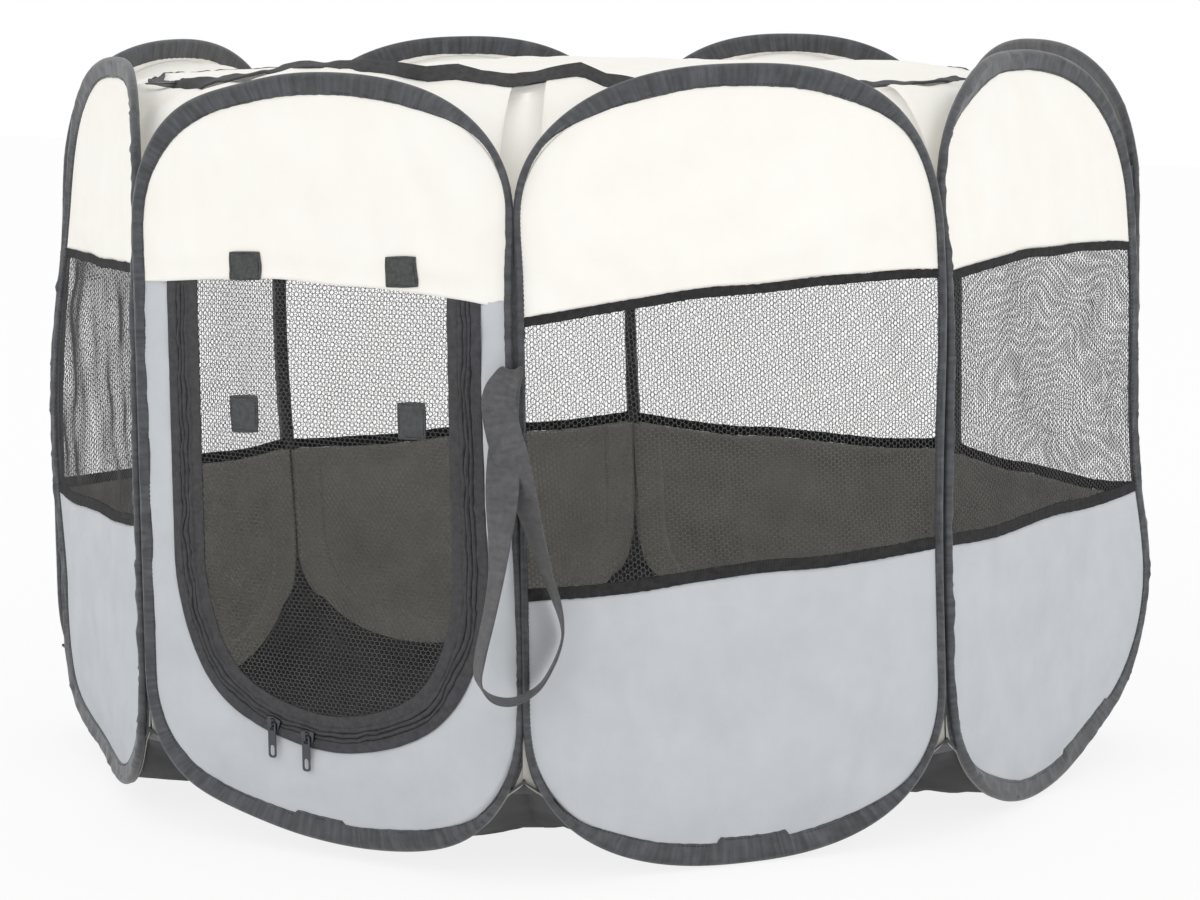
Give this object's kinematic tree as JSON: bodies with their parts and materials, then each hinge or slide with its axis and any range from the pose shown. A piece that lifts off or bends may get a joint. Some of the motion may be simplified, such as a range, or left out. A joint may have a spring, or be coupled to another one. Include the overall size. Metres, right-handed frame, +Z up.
{
  "type": "soft folding dog crate",
  "caption": "Pop-up octagonal pet pen: wire hoops in fabric sleeves, net windows, cream and grey cloth walls, zipped door, round zipped lid, floor and webbing loop.",
  "frame": {"origin": "centre of the floor's underside, midway between opposite seams", "axes": "+Z up, the zipped door faces -Y, +X to the right of someone facing the door"},
  "size_m": [0.8226, 0.8645, 0.58],
  "materials": {
    "charcoal_sleeve": "woven polyester binding tape, charcoal, satin",
    "cream_cloth": "coated polyester cloth, cream, matt",
    "grey_cloth": "coated polyester cloth, light grey outside and taupe inside, matt",
    "black_net": "knitted polyester net, black",
    "zip_black": "moulded and coil zip with woven tape, black",
    "gunmetal": "die-cast, dark plated, semi-gloss",
    "spring_steel": "tempered spring wire",
    "webbing": "woven polyester webbing, dark grey",
    "floor_cloth": "coated oxford cloth, charcoal, matt",
    "hook_and_loop": "hook-and-loop tape, dark grey"
  },
  "bodies": {
    "back": {"back_hoop_sleeve": "charcoal_sleeve", "back_hoop_wire": "spring_steel", "back_lower_cloth": "grey_cloth", "back_upper_cloth": "cream_cloth", "back_window_net": "black_net", "floor_sheet": "floor_cloth", "roof_ring": "cream_cloth", "roof_zip": "zip_black"},
    "back_left": {"back_left_hoop_sleeve": "charcoal_sleeve", "back_left_hoop_wire": "spring_steel", "back_left_lower_cloth": "grey_cloth", "back_left_upper_cloth": "cream_cloth", "back_left_window_net": "black_net"},
    "back_right": {"back_right_hoop_sleeve": "charcoal_sleeve", "back_right_hoop_wire": "spring_steel", "back_right_lower_cloth": "grey_cloth", "back_right_upper_cloth": "cream_cloth", "back_right_window_net": "black_net"},
    "door": {"door_net": "black_net", "door_pad_left": "hook_and_loop", "door_pad_right": "hook_and_loop", "door_tape": "charcoal_sleeve"},
    "door_pull_left": {"door_pull_left": "gunmetal"},
    "door_pull_right": {"door_pull_right": "gunmetal"},
    "door_slider_left": {"door_slider_left": "gunmetal"},
    "door_slider_right": {"door_slider_right": "gunmetal"},
    "front": {"door_tab_left": "hook_and_loop", "door_tab_right": "hook_and_loop", "door_zip_border": "charcoal_sleeve", "door_zip_chain": "zip_black", "front_door_surround": "grey_cloth", "front_hoop_sleeve": "charcoal_sleeve", "front_hoop_wire": "spring_steel", "front_upper_cloth": "cream_cloth"},
    "front_left": {"front_left_hoop_sleeve": "charcoal_sleeve", "front_left_hoop_wire": "spring_steel", "front_left_lower_cloth": "grey_cloth", "front_left_upper_cloth": "cream_cloth", "front_left_window_net": "black_net"},
    "front_right": {"front_right_hoop_sleeve": "charcoal_sleeve", "front_right_hoop_wire": "spring_steel", "front_right_lower_cloth": "grey_cloth", "front_right_upper_cloth": "cream_cloth", "front_right_window_net": "black_net"},
    "left": {"left_hoop_sleeve": "charcoal_sleeve", "left_hoop_wire": "spring_steel", "left_lower_cloth": "grey_cloth", "left_upper_cloth": "cream_cloth", "left_window_net": "black_net"},
    "right": {"right_hoop_sleeve": "charcoal_sleeve", "right_hoop_wire": "spring_steel", "right_lower_cloth": "grey_cloth", "right_upper_cloth": "cream_cloth", "right_window_net": "black_net"},
    "roof_lid": {"roof_lid": "cream_cloth"},
    "roof_pull": {"roof_pull": "gunmetal"},
    "roof_slider": {"roof_slider": "gunmetal"},
    "strap": {"strap_loop": "webbing"}
  },
  "joints": [
    {"name": "fold", "type": "hinge", "parent": "back_right", "child": "right", "pos_m": [0.40397, 0.19572, 0], "axis": [0, 0, -1], "range_deg": [0, 125], "deforming": ["roof_ring", "roof_zip", "roof_lid", "roof_slider", "roof_pull", "floor_sheet"]},
    {"name": "seam_back_right", "type": "hinge", "parent": "back", "child": "back_right", "pos_m": [0.14028, 0.40397, 0], "axis": [0, 0, -1], "range_deg": [-37.41, 0.1]},
    {"name": "seam_front_right", "type": "hinge", "parent": "right", "child": "front_right", "pos_m": [0.40397, -0.14028, 0], "axis": [0, 0, -1], "range_deg": [-37.41, 0.1]},
    {"name": "seam_front", "type": "hinge", "parent": "front_right", "child": "front", "pos_m": [0.19572, -0.40397, 0], "axis": [0, 0, -1], "range_deg": [-50.47, 0.1]},
    {"name": "seam_front_left", "type": "hinge", "parent": "front", "child": "front_left", "pos_m": [-0.14028, -0.40397, 0], "axis": [0, 0, -1], "range_deg": [-37.41, 0.1]},
    {"name": "seam_back_left", "type": "hinge", "parent": "back", "child": "back_left", "pos_m": [-0.19572, 0.40397, 0], "axis": [0, 0, 1], "range_deg": [-50.47, 0.1]},
    {"name": "seam_left", "type": "hinge", "parent": "back_left", "child": "left", "pos_m": [-0.40397, 0.14028, 0], "axis": [0, 0, 1], "range_deg": [-37.41, 0.1]},
    {"name": "door_hinge", "type": "hinge", "parent": "front", "child": "door", "pos_m": [0.02772, -0.40876, 0.42], "axis": [1, 0, 0], "range_deg": [-160, 0]},
    {"name": "door_zip_left", "type": "hinge", "parent": "front", "child": "door_slider_left", "pos_m": [0.02772, -0.40776, 0.217], "axis": [0, -1, 0], "range_deg": [-68, 0]},
    {"name": "door_zip_right", "type": "hinge", "parent": "front", "child": "door_slider_right", "pos_m": [0.02772, -0.40776, 0.217], "axis": [0, -1, 0], "range_deg": [0, 98]},
    {"name": "door_pull_left_hinge", "type": "hinge", "parent": "door_slider_left", "child": "door_pull_left", "pos_m": [-0.02075, -0.41286, 0.09702], "axis": [-1, 0, 0], "range_deg": [0, 150]},
    {"name": "door_pull_right_hinge", "type": "hinge", "parent": "door_slider_right", "child": "door_pull_right", "pos_m": [0.00971, -0.41286, 0.08886], "axis": [-1, 0, 0], "range_deg": [0, 150]},
    {"name": "lid_lift", "type": "slide", "parent": "back", "child": "roof_lid", "axis": [0, 0, -1], "range_m": [-0.25, 0]},
    {"name": "roof_zip_run", "type": "hinge", "parent": "back", "child": "roof_slider", "pos_m": [0, 0, 0.556], "axis": [0, 0, 1], "range_deg": [0, 340]},
    {"name": "roof_pull_hinge", "type": "hinge", "parent": "roof_slider", "child": "roof_pull", "pos_m": [-0.19152, -0.28395, 0.5606], "axis": [-0.829, 0.5592, 0], "range_deg": [0, 150]},
    {"name": "strap_swing", "type": "hinge", "parent": "front_right", "child": "strap", "pos_m": [0.20419, -0.41066, 0.365], "axis": [-0.6198, -0.7848, 0], "range_deg": [0, 90]}
  ],
  "couplings": [
    {"joint": "seam_back_right", "follows": "fold", "ratio": -0.29852},
    {"joint": "seam_front_right", "follows": "fold", "ratio": -0.29852},
    {"joint": "seam_front", "follows": "fold", "ratio": -0.40296},
    {"joint": "seam_front_left", "follows": "fold", "ratio": -0.29852},
    {"joint": "seam_back_left", "follows": "fold", "ratio": -0.40296},
    {"joint": "seam_left", "follows": "fold", "ratio": -0.29852}
  ]
}
